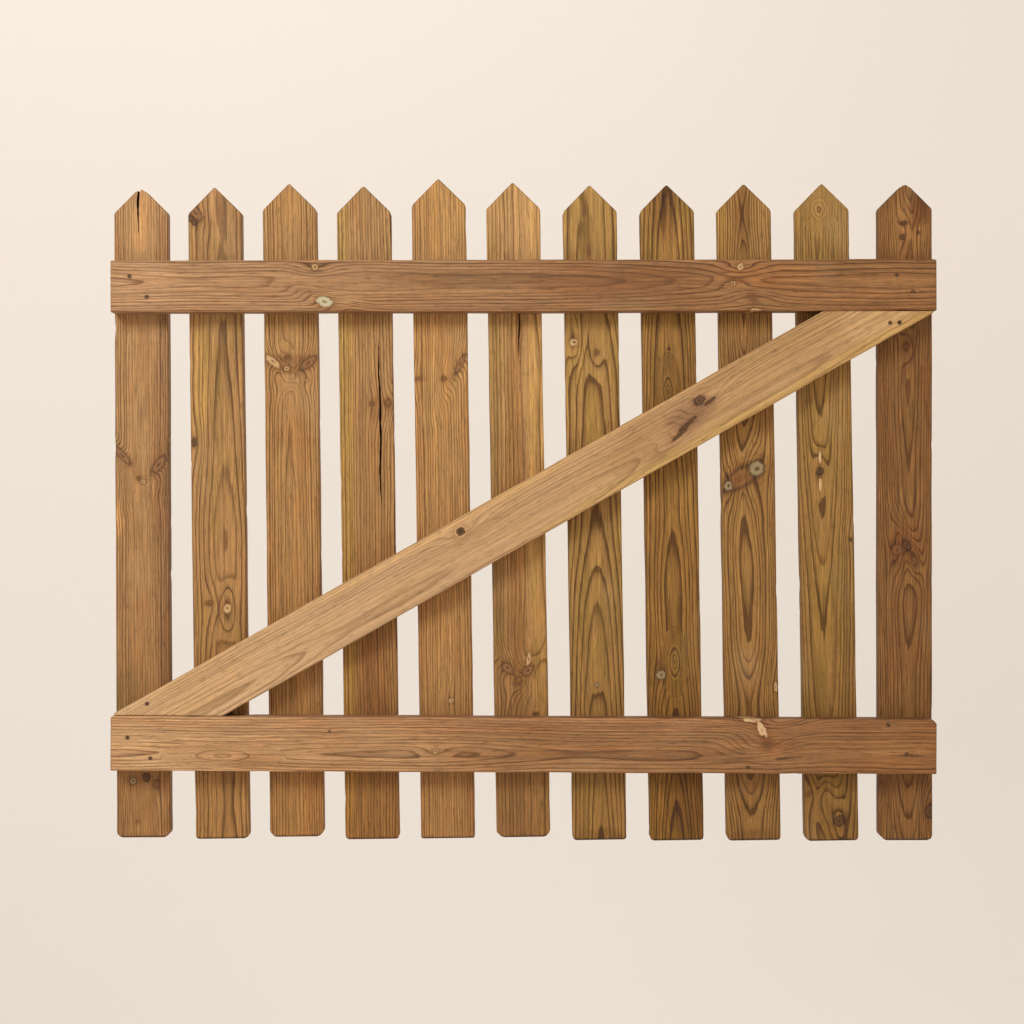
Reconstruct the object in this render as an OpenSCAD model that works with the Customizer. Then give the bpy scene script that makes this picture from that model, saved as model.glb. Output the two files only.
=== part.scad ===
// Ledged and braced picket gate leaf, in millimetres.
//
// X runs along the width, Y through the thickness and Z up. The origin is at the bottom centre of the
// leaf's bounding box. The ledges and the brace face -Y and the pickets face +Y. The hanging edge is at
// -X, where the brace has its foot, and the closing edge is at +X.
//
// The inner pickets are nailed from the picket face. The two end pickets and the ends of the brace are
// nailed from the ledge face. Every nail fills its own hole.

/* [Leaf] */
// Width of the leaf across the outer edges of the end pickets
leaf_w = 1000; // [880:5:1400]
// Number of pickets
picket_count = 11; // [6:1:12]

/* [Pickets] */
// Width of a picket
picket_w = 66; // [50:1:72]
// Thickness of a picket
picket_t = 18; // [14:0.5:24]
// Nominal length of a picket, from foot to tip
picket_len = 800; // [640:5:1200]
// Slope of the two cuts that make the point, above the horizontal
point_angle = 45; // [25:1:60]
// Width of the flat left at the tip
tip_flat = 2.5; // [0.5:0.5:6]

/* [Ledges] */
// Width of the top ledge, measured up the leaf
top_ledge_w = 62.5; // [50:0.5:90]
// Width of the bottom ledge, measured up the leaf
bottom_ledge_w = 66.5; // [50:0.5:90]
// Thickness of a ledge
ledge_t = 28; // [20:1:40]
// Height of the bottom ledge's lower edge above the foot line, at mid-width
bottom_ledge_rise = 87.5; // [50:0.5:160]
// Distance of the top ledge's upper edge below the nominal tip line, at mid-width
top_ledge_drop = 91.5; // [60:0.5:160]
// Angle of the top ledge, positive with the closing edge up
top_ledge_tilt = 0.1; // [-0.5:0.05:0.5]
// Angle of the bottom ledge, positive with the closing edge up
bottom_ledge_tilt = -0.25; // [-0.5:0.05:0.5]

/* [Brace] */
// Width of the brace across its grain
brace_w = 68; // [50:1:90]
// Thickness of the brace
brace_t = 28; // [20:1:40]
// Gap between the brace and each ledge
brace_gap = 0.6; // [0:0.1:3]
// How far each sharp tip of the brace is cut back from the end of the ledges
brace_nose = 4; // [1:0.5:15]

/* [Edges] */
// Radius of the eased long edges of every board
arris_r = 2; // [0.5:0.25:4]

/* [Nails] */
// Wood left past the point of a nail driven from the picket face
point_cover = 7; // [1:0.5:12]
// Wood left past the point of a nail driven from the ledge side
end_point_cover = 3; // [1:0.5:8]
// Diameter of a nail's shank
nail_d = 2.8; // [2:0.1:4]
// Diameter of a nail's head
nail_head_d = 5; // [4.5:0.1:9]
// Thickness of a nail's head
nail_head_t = 1; // [0.5:0.1:2]
// How far a nail's head is driven below the surface
nail_sink = 0.8; // [0.2:0.1:2]
// Distance across the picket from the middle of a joint to each of its two nails
nail_dx = 11; // [6:0.5:18]
// Distance up the picket from the middle of a joint to each of its two nails
nail_dz = 12; // [6:0.5:20]

/* [Hidden] */
$fn = 32;

// The lists below are the tolerances of a hand-nailed leaf, one item for each picket from the hanging
// edge. They repeat if there are more pickets.
// How far each picket leans off plumb, in degrees, with its tip towards the hanging edge
picket_lean = [0.25, 0.7, 0.7, 0.8, 0.85, 0.95, 0.9, 0.9, 0.9, 0.9, 0.05];
// How far each foot is nailed off its even spacing
picket_shift = [2, 5, 3, 2, 1, 0, 0, 1, 2, 4, 1];
// How far each foot is nailed above the lowest one
foot_rise = [4, 2.5, 5, 2, 3, 4.5, 1, 0.5, 0.5, 0, 0.5];
// How much longer than nominal each picket is cut
extra_len = [-4, -3, -1, -1, 7, 1, 1, 2, 3, 4, 5];
// Size of the clipped corners of each foot, on the side of the hanging edge and on the other side
foot_clip_left = [5, 3, 6, 3, 0.5, 7, 3, 3, 4, 5, 8];
foot_clip_right = [6, 4, 6, 2, 0.5, 6, 2, 2, 2, 2, 4];
// Size of the clipped upper corners of each ledge, at the hanging end and at the closing end
top_ledge_clip = [0.5, 2];
bottom_ledge_clip = [2, 5];

// The nails of the end joints, from the middle of each joint: how far across and up, as shares of half
// the picket's width and half the ledge's width
top_hanging_nails = [[-0.27, 0.38], [0.36, -0.42]];
top_closing_nails = [[-0.48, 0.38], [0.12, -0.26]];
bottom_hanging_nails = [[-0.42, 0.21], [0.42, -0.54]];
bottom_closing_nails = [[-0.8, 0.8], [-0.12, -0.27]];
// The nails of the brace, from its tip: how far along the ledge, as a share of a picket's width, and how
// far off the ledge, as a share of what the brace has there
brace_foot_nails = [[0.67, 0.56]];
brace_head_nails = [[0.68, 0.55], [0.85, 0.45]];

last = picket_count - 1;
pitch = (leaf_w - picket_w) / last;
leaf_t = picket_t + max(ledge_t, brace_t);
picket_face = leaf_t / 2;
joint_y = picket_face - picket_t;
ledge_face = joint_y - ledge_t;
brace_face = joint_y - brace_t;
bottom_ledge_z = bottom_ledge_rise + bottom_ledge_w / 2;
top_ledge_z = picket_len - top_ledge_drop - top_ledge_w / 2;
slack = 1; // how far a cutting shape runs past what it cuts

// The nails stop short of the far face, so their lengths follow from the boards they join.
inner_nail_len = picket_t + min(ledge_t, brace_t) - nail_sink - point_cover;
ledge_nail_len = picket_t + ledge_t - nail_sink - end_point_cover;
brace_nail_len = picket_t + brace_t - nail_sink - end_point_cover;

// Takes the item for picket i from a list, and goes round again past the list's end.
function cycled(list, i) = list[i % len(list)];
function is_inner(i) = i > 0 && i < last;
function lean(i) = cycled(picket_lean, i);
function foot_x(i) = -leaf_w / 2 + picket_w / 2 + i * pitch + cycled(picket_shift, i);
function picket_length(i) = picket_len + cycled(extra_len, i);

// Leaning lowers one corner of a foot, and the lowest corner of all sets the foot line at z = 0.
function lowest(i) =
    cycled(foot_rise, i) - (picket_w / 2 - cycled(foot_clip_left, i)) * sin(lean(i));
foot_line = min([for (i = [0:last]) lowest(i)]);
function foot_z(i) = cycled(foot_rise, i) - foot_line;

// Middle of picket i at height z, and middle of a ledge at x
function picket_x(i, z) = foot_x(i) - (z - foot_z(i)) * tan(lean(i));
function top_mid(x) = top_ledge_z + x * tan(top_ledge_tilt);
function bottom_mid(x) = bottom_ledge_z + x * tan(bottom_ledge_tilt);

// The two ledge edges that the brace fits between
function brace_floor(x) = bottom_mid(x) + bottom_ledge_w / 2 + brace_gap;
function brace_roof(x) = top_mid(x) - top_ledge_w / 2 - brace_gap;

// The brace runs from corner to corner, so its slope follows from the opening and from its own width.
brace_reach = leaf_w / 2;
brace_rise = brace_roof(brace_reach) - brace_floor(-brace_reach);
brace_angle = atan(brace_rise / leaf_w) + asin(brace_w / norm([leaf_w, brace_rise]));
brace_mid_z = (brace_roof(brace_reach) + brace_floor(-brace_reach)) / 2;
function brace_mid(x) = brace_mid_z + x * tan(brace_angle);

// Names with a number of two digits, such as picket_03
function numbered(stem, i, tail) = str(stem, i < 9 ? "0" : "", i + 1, tail);
PICKETS = [for (i = [0:last]) numbered("picket_", i, "")];
PICKET_NAILS = [for (i = [1:last - 1]) numbered("picket_", i, "_nails")];

// Cross-section of a board with eased corners: its width along X and its thickness along Y
module section(w, t) {
    square([w - 2 * arris_r, t], center = true);
    square([w, t - 2 * arris_r], center = true);
    for (x = [-1, 1], y = [-1, 1])
        translate([x * (w / 2 - arris_r), y * (t / 2 - arris_r)]) circle(arris_r);
}

// A board that stands on the origin, with its length up Z
module upright_board(length, w, t) {
    linear_extrude(length) section(w, t);
}

// A board centred on the origin, with its length along X and its width up Z
module level_board(length, w, t) {
    translate([-length / 2, 0, 0]) rotate([0, 90, 0]) upright_board(length, w, t);
}

// Turns a flat outline of X and Z into a slab of thickness t, centred on Y
module slab(t) {
    rotate([90, 0, 0]) linear_extrude(t + 2 * slack, center = true) children();
}

// One nail with its head at the origin and its shank down -Z. The pit reaches up past the surface.
module nail(length, pit = 0) {
    point = nail_d;
    blunt = nail_d / 4;
    translate([0, 0, -nail_head_t]) cylinder(d = nail_head_d, h = nail_head_t + pit);
    translate([0, 0, point - length]) cylinder(d = nail_d, h = length - point - nail_head_t / 2);
    translate([0, 0, -length]) cylinder(d1 = blunt, d2 = nail_d, h = point);
}

// A nail driven towards -Y from the picket face, at [x, z]
module from_picket_face(spot, pit = 0) {
    translate([spot[0], picket_face - nail_sink, spot[1]]) rotate([-90, 0, 0])
        nail(inner_nail_len, pit);
}

// A nail driven towards +Y through a ledge or through the brace, at [x, z]
module from_ledge_face(spot, pit = 0) {
    translate([spot[0], ledge_face + nail_sink, spot[1]]) rotate([90, 0, 0])
        nail(ledge_nail_len, pit);
}

module from_brace_face(spot, pit = 0) {
    translate([spot[0], brace_face + nail_sink, spot[1]]) rotate([90, 0, 0])
        nail(brace_nail_len, pit);
}

// The nails of a joint whose middle is at [x, z], from their distances across and up
function spots(x, z, offsets) = [for (offset = offsets) [x, z] + offset];
function pair(x, z) = spots(x, z, [[-nail_dx, nail_dz], [nail_dx, -nail_dz]]);

// Where the middle of picket i crosses the middle of the brace
function crossing_x(i) =
    (foot_x(i) + (foot_z(i) - brace_mid_z) * tan(lean(i))) / (1 + tan(brace_angle) * tan(lean(i)));

// The nails of picket i in the top ledge, the bottom ledge and the brace
function inner_spots(i) = concat(
    pair(picket_x(i, top_ledge_z), top_mid(foot_x(i))),
    pair(picket_x(i, bottom_ledge_z), bottom_mid(foot_x(i))),
    pair(crossing_x(i), brace_mid(crossing_x(i)))
);

// The nails that go in from the ledge side. Shares turn into distances with the joint's half sizes.
function scaled(shares, half_w) = [for (share = shares) [share[0] * picket_w / 2, share[1] * half_w]];
function end_spots(z, mids, shares, ledge_w) = concat(
    spots(picket_x(0, z), mids[0], scaled(shares[0], ledge_w / 2)),
    spots(picket_x(last, z), mids[1], scaled(shares[1], ledge_w / 2))
);
top_end_spots = end_spots(top_ledge_z, [top_mid(foot_x(0)), top_mid(foot_x(last))],
    [top_hanging_nails, top_closing_nails], top_ledge_w);
bottom_end_spots = end_spots(bottom_ledge_z, [bottom_mid(foot_x(0)), bottom_mid(foot_x(last))],
    [bottom_hanging_nails, bottom_closing_nails], bottom_ledge_w);

// Near its tip the brace is a wedge, so what it has off the ledge grows with the distance along.
function wedge_spot(share) = let (along = share[0] * picket_w)
    [along, share[1] * along * tan(brace_angle)];
brace_end_spots = concat(
    [for (n = brace_foot_nails) [-brace_reach, brace_floor(-brace_reach)] + wedge_spot(n)],
    [for (n = brace_head_nails) [brace_reach, brace_roof(brace_reach)] - wedge_spot(n)]
);

module inner_nail_holes() {
    for (i = [1:last - 1], spot = inner_spots(i)) from_picket_face(spot);
}

module end_nail_holes() {
    pit = nail_sink + slack;
    for (spot = concat(top_end_spots, bottom_end_spots)) from_ledge_face(spot, pit);
    for (spot = brace_end_spots) from_brace_face(spot, pit);
}

// Outline of picket i, standing on the origin: two clipped foot corners and a point
module picket_outline(i) {
    edge = picket_w / 2;
    past = edge + slack;
    left = cycled(foot_clip_left, i);
    right = cycled(foot_clip_right, i);
    tip = picket_length(i);
    shoulder = tip - (past - tip_flat / 2) * tan(point_angle);
    polygon([
        [-past, left + slack], [left - edge, 0], [edge - right, 0], [past, right + slack],
        [past, shoulder], [tip_flat / 2, tip], [-tip_flat / 2, tip], [-past, shoulder]
    ]);
}

module picket(i) {
    color("peru") difference() {
        translate([foot_x(i), joint_y + picket_t / 2, foot_z(i)]) rotate([0, -lean(i), 0])
            intersection() {
                upright_board(picket_length(i), picket_w, picket_t);
                slab(picket_t) picket_outline(i);
            }
        if (is_inner(i)) for (spot = inner_spots(i)) from_picket_face(spot, nail_sink + slack);
        else end_nail_holes();
    }
}

// Outline of a ledge of width w, centred on the origin, with its two upper corners clipped
module ledge_outline(w, clip) {
    end = leaf_w / 2;
    past = end + slack;
    top = w / 2;
    polygon([
        [-past, -top - slack], [past, -top - slack],
        [past, top - clip[1] - slack], [end - clip[1] - slack, top + slack],
        [clip[0] + slack - end, top + slack], [-past, top - clip[0] - slack]
    ]);
}

module ledge(w, z, tilt, clip) {
    color("sienna") difference() {
        translate([0, joint_y - ledge_t / 2, z]) rotate([0, -tilt, 0]) intersection() {
            level_board(leaf_w, w, ledge_t);
            slab(ledge_t) ledge_outline(w, clip);
        }
        inner_nail_holes();
        end_nail_holes();
    }
}

// Outline of the brace's ends: cut along both ledges, and cut back square at the two tips
module brace_outline() {
    end = brace_reach - brace_nose;
    polygon([
        [-end, brace_floor(-end)], [end, brace_floor(end)],
        [end, brace_roof(end)], [-end, brace_roof(-end)]
    ]);
}

module brace() {
    blank = norm([leaf_w, brace_rise]) + 4 * brace_w; // long enough to be cut at both ends
    color("burlywood") difference() {
        translate([0, joint_y - brace_t / 2, 0]) intersection() {
            translate([0, 0, brace_mid_z]) rotate([0, -brace_angle, 0])
                level_board(blank, brace_w, brace_t);
            slab(brace_t) brace_outline();
        }
        inner_nail_holes();
        end_nail_holes();
    }
}

module picket_nails(i) {
    color("dimgray") for (spot = inner_spots(i)) from_picket_face(spot);
}

module ledge_nails(end_spots) {
    color("dimgray") for (spot = end_spots) from_ledge_face(spot);
}

module brace_nails() {
    color("dimgray") for (spot = brace_end_spots) from_brace_face(spot);
}

for (i = [0:last]) picket(i);
for (i = [1:last - 1]) picket_nails(i);
ledge(top_ledge_w, top_ledge_z, top_ledge_tilt, top_ledge_clip);  // top_ledge
ledge(bottom_ledge_w, bottom_ledge_z, bottom_ledge_tilt, bottom_ledge_clip);  // bottom_ledge
brace();
ledge_nails(top_end_spots);  // top_ledge_end_nails
ledge_nails(bottom_end_spots);  // bottom_ledge_end_nails
brace_nails();  // brace_end_nails
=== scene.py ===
"""Ledged and braced picket gate leaf: weathered softwood boards with growth rings, knots and splits."""
import math
import random

import bmesh
import bpy
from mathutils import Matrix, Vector


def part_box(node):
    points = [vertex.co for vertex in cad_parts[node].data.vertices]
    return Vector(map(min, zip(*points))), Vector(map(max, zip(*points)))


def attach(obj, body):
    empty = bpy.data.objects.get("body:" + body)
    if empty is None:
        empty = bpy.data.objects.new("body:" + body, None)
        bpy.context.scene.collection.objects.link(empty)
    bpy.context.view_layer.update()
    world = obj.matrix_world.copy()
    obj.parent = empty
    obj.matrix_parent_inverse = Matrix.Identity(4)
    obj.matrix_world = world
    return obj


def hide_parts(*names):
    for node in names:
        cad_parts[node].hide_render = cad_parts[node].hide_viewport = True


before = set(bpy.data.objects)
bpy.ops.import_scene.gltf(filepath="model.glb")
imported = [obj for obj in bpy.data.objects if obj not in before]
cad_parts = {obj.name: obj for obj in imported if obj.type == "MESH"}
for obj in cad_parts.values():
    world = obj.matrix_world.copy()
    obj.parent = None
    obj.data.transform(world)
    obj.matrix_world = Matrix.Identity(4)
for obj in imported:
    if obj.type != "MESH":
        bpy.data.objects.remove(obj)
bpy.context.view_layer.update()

MM = 0.001
ARRIS = 2.0  # radius of a board's eased long edges, in mm
STATION = 6.0  # length of one mesh step along a board, in mm
RUN_OUT = 10.0  # how far a board is swept past each end before it is cut, in mm
DENTS = 10  # dents knocked into each board's long edges
SHARP = math.radians(28)  # faces that meet at more than this keep a hard edge
PIT_SIDES = 14  # points round the pit over a nail head
PIT_RADIUS = (2.5, 2.68)  # smallest and largest radius of a pit, in mm
NAIL_DEPTH = 3.0  # a nail head this close to a board's face is in that face, in mm


def linear(rgb):
    """A colour given in sRGB from 0 to 255, as linear values."""
    return tuple(
        c / 255 / 12.92 if c / 255 <= 0.04045 else ((c / 255 + 0.055) / 1.055) ** 2.4 for c in rgb
    )


# ---------------------------------------------------------------- boards as the CAD places them


def hull(points):
    """Convex outline of 2D points, counter-clockwise."""
    points = sorted(set((round(float(x), 7), round(float(y), 7)) for x, y in points))

    def chain(seq):
        out = []
        for p in seq:
            while len(out) > 1:
                (ax, ay), (bx, by) = out[-2], out[-1]
                if (bx - ax) * (p[1] - ay) - (by - ay) * (p[0] - ax) > 1e-10:
                    break
                out.pop()
            out.append(p)
        return out[:-1]

    return chain(points) + chain(points[::-1])


class Board:
    """Where a CAD board is. u runs across it, v along it and w back from its front face, in mm."""

    def __init__(self, node):
        self.node = node
        co = [v.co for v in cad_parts[node].data.vertices]
        low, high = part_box(node)
        ring = [Vector(p) for p in hull((c.x, c.z) for c in co)]
        edges = [(ring[i], ring[(i + 1) % len(ring)]) for i in range(len(ring))]
        a, b = max(edges, key=lambda e: (e[1] - e[0]).length)
        along = (b - a).normalized()
        upright = abs(along.y) > abs(along.x)
        if (along.y if upright else along.x) < 0:
            along = -along
        across = Vector((along.y, -along.x)) if upright else Vector((-along.y, along.x))
        us = [p.dot(across) for p in ring]
        vs = [p.dot(along) for p in ring]
        mid = (min(us) + max(us)) / 2
        start = across * mid + along * min(vs)
        self.width = (max(us) - min(us)) / MM
        self.length = (max(vs) - min(vs)) / MM
        self.thick = (high.y - low.y) / MM
        self.origin = Vector((start.x, low.y, start.y))
        self.across = Vector((across.x, 0, across.y))
        self.along = Vector((along.x, 0, along.y))
        self.cuts, self.corners = [], []
        for i, p in enumerate(ring):
            before, after = (p - ring[i - 1]).normalized(), (p - ring[(i + 1) % len(ring)]).normalized()
            if before.dot(after) > -0.9:
                out = (before + after).normalized()
                p_uv = Vector(((p.dot(across) - mid) / MM, (p.dot(along) - min(vs)) / MM))
                self.corners.append((p_uv, Vector((out.dot(across), out.dot(along)))))
        for p, q in edges:
            d = q - p
            if d.length < 0.0004 or abs(d.normalized().dot(along)) > 0.9999:
                continue
            out = Vector((d.y, -d.x)).normalized()
            p_uv = Vector(((p.dot(across) - mid) / MM, (p.dot(along) - min(vs)) / MM))
            self.cuts.append((p_uv, Vector((out.dot(across), out.dot(along)))))

    def world(self, u, v, w):
        return self.origin + (self.across * u + self.along * v + Vector((0, w, 0))) * MM

    def local(self, point):
        d = (point - self.origin) / MM
        return d.dot(self.across), d.dot(self.along), d.y


def nail_heads():
    """Middle of each nail's head as the CAD places it, with the side it faces: -1 front, 1 back."""
    heads = []
    for name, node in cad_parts.items():
        if not name.endswith("nails"):
            continue
        bm = bmesh.new()
        bm.from_mesh(node.data)
        bmesh.ops.remove_doubles(bm, verts=bm.verts, dist=1e-6)
        left = set(bm.verts)
        for seed in bm.verts:
            if seed not in left:
                continue
            left.remove(seed)
            island, stack = [seed], [seed]
            while stack:
                for e in stack.pop().link_edges:
                    for v in e.verts:
                        if v in left:
                            left.remove(v)
                            island.append(v)
                            stack.append(v)
            ys = [v.co.y for v in island]
            x = (min(v.co.x for v in island) + max(v.co.x for v in island)) / 2
            z = (min(v.co.z for v in island) + max(v.co.z for v in island)) / 2
            wide = max(island, key=lambda v: (v.co.x - x) ** 2 + (v.co.z - z) ** 2)
            side = -1 if wide.co.y < (min(ys) + max(ys)) / 2 else 1
            heads.append((Vector((x, min(ys) if side < 0 else max(ys), z)), side))
        bm.free()
    heads.sort(key=lambda head: (head[1], round(head[0].x, 4), round(head[0].z, 4)))
    return heads


# ---------------------------------------------------------------- node building


class Nodes:
    """Builds shader nodes from expressions. A value is a number, a tuple or another node's socket."""

    def __init__(self, name):
        self.material = bpy.data.materials.new(name)
        self.material.use_nodes = True
        self.tree = self.material.node_tree
        self.shader = self.tree.nodes["Principled BSDF"]

    def add(self, kind, **settings):
        node = self.tree.nodes.new("ShaderNode" + kind)
        for key, value in settings.items():
            setattr(node, key, value)
        return node

    def put(self, socket, value):
        if isinstance(value, bpy.types.NodeSocket):
            self.tree.links.new(value, socket)
        elif isinstance(value, (tuple, list, Vector)):
            value = tuple(value)
            socket.default_value = value if len(value) == len(socket.default_value) else value + (1,)
        else:
            socket.default_value = value

    def math(self, operation, *args, clamp=False):
        node = self.add("Math", operation=operation, use_clamp=clamp)
        for socket, value in zip(node.inputs, args):
            self.put(socket, value)
        return node.outputs[0]

    def vector(self, operation, *args):
        node = self.add("VectorMath", operation=operation)
        for socket, value in zip(node.inputs, args):
            self.put(socket, value)
        return node.outputs["Value" if operation in ("DOT_PRODUCT", "LENGTH") else "Vector"]

    def join(self, x, y, z):
        node = self.add("CombineXYZ")
        for socket, value in zip(node.inputs, (x, y, z)):
            self.put(socket, value)
        return node.outputs[0]

    def mix(self, fac, a, b, mode="MIX"):
        node = self.add("Mix", data_type="RGBA", blend_type=mode)
        for index, value in ((0, fac), (6, a), (7, b)):
            self.put(node.inputs[index], value)
        return node.outputs[2]

    def blend(self, fac, a, b):
        """a where fac is 0 and b where it is 1, for numbers."""
        node = self.add("Mix", data_type="FLOAT")
        for index, value in ((0, fac), (2, a), (3, b)):
            self.put(node.inputs[index], value)
        return node.outputs[0]

    def noise(self, vector, detail=2.0, rough=0.5):
        node = self.add("TexNoise", noise_dimensions="3D")
        self.put(node.inputs["Vector"], vector)
        self.put(node.inputs["Scale"], 1.0)
        self.put(node.inputs["Detail"], detail)
        self.put(node.inputs["Roughness"], rough)
        return node.outputs[0]

    def noise_1d(self, value):
        node = self.add("TexNoise", noise_dimensions="1D")
        self.put(node.inputs["W"], value)
        self.put(node.inputs["Scale"], 1.0)
        self.put(node.inputs["Detail"], 1.0)
        return node.outputs[0]

    def step(self, value, low, high, a=0.0, b=1.0):
        """Smoothly from a where value is low to b where it is high."""
        node = self.add("MapRange", interpolation_type="SMOOTHSTEP")
        for socket, x in zip(node.inputs, (value, low, high, a, b)):
            self.put(socket, x)
        return node.outputs[0]

    def ramp(self, fac, stops):
        node = self.add("ValToRGB")
        ramp = node.color_ramp
        while len(ramp.elements) < len(stops):
            ramp.elements.new(1.0)
        for element, (at, value) in zip(ramp.elements, stops):
            element.position = at
            element.color = (value, value, value, 1)
        self.put(node.inputs[0], fac)
        return node.outputs[0]


# ---------------------------------------------------------------- wood

# Kinds of knot: colours of the core, of its heart and of its rim, how strongly the rim shows and how
# much of the wood's own grain the core covers.
KNOTS = {
    "dark": ((98, 66, 40), (52, 34, 20), (48, 30, 18), 0.8, 0.85),
    "round": ((92, 60, 36), (46, 30, 19), (204, 160, 112), 0.7, 0.95),
    "leaf": ((150, 106, 66), (70, 44, 26), (84, 54, 32), 0.75, 0.7),
    "red": ((132, 86, 48), (92, 56, 30), (78, 46, 24), 0.65, 0.8),
    "grey": ((168, 146, 108), (92, 70, 44), (84, 60, 36), 0.75, 0.9),
    "pale": ((214, 176, 122), (104, 68, 38), (120, 80, 44), 0.55, 0.9),
    "pin": ((206, 168, 112), (72, 46, 26), (104, 70, 40), 0.6, 0.9),
    "soft": ((118, 80, 46), (98, 64, 36), (104, 68, 38), 0.25, 0.7),
    "swirl": ((134, 90, 54), (116, 78, 46), (66, 42, 24), 0.65, 0.4),
    "cream": ((224, 192, 146), (196, 150, 102), (136, 88, 52), 0.4, 0.9),
    "lichen": ((204, 196, 160), (140, 120, 84), (120, 82, 50), 0.5, 0.9),
    "none": None,  # the grain arches over it, but the face misses the knot itself
}

# Colours in sRGB, and tones that multiply the board's own colour.
BLOOM = (196, 164, 122)  # dry, bleached fibres
FLECK = (206, 172, 126)  # torn fibres that catch the light
# painted shade inside the splits
SPLIT_SHADE = (34, 20, 11)
# rust round the nails, and painted shade in their pits
NAIL_STAIN_AND_PIT_SHADE = (76, 50, 32)
EARLY_WOOD = (1.22, 1.24, 1.28)
LATE_WOOD = (0.42, 0.35, 0.28)
# painted shade along the foot of each picket
FOOT_SHADE = (0.34, 0.29, 0.25)
KNOT_HALO = (0.62, 0.52, 0.44)
# end grain, and painted shade on the 45° chamfers at the ends
END_GRAIN_AND_CHAMFER_SHADE = (0.42, 0.36, 0.32)
# painted shade on the narrow sides
NARROW_SIDE_SHADE = (0.84, 0.80, 0.78)
EYE_FIRST_RING = 40.0  # number of an eye's middle ring, far from the numbers round it


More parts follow.
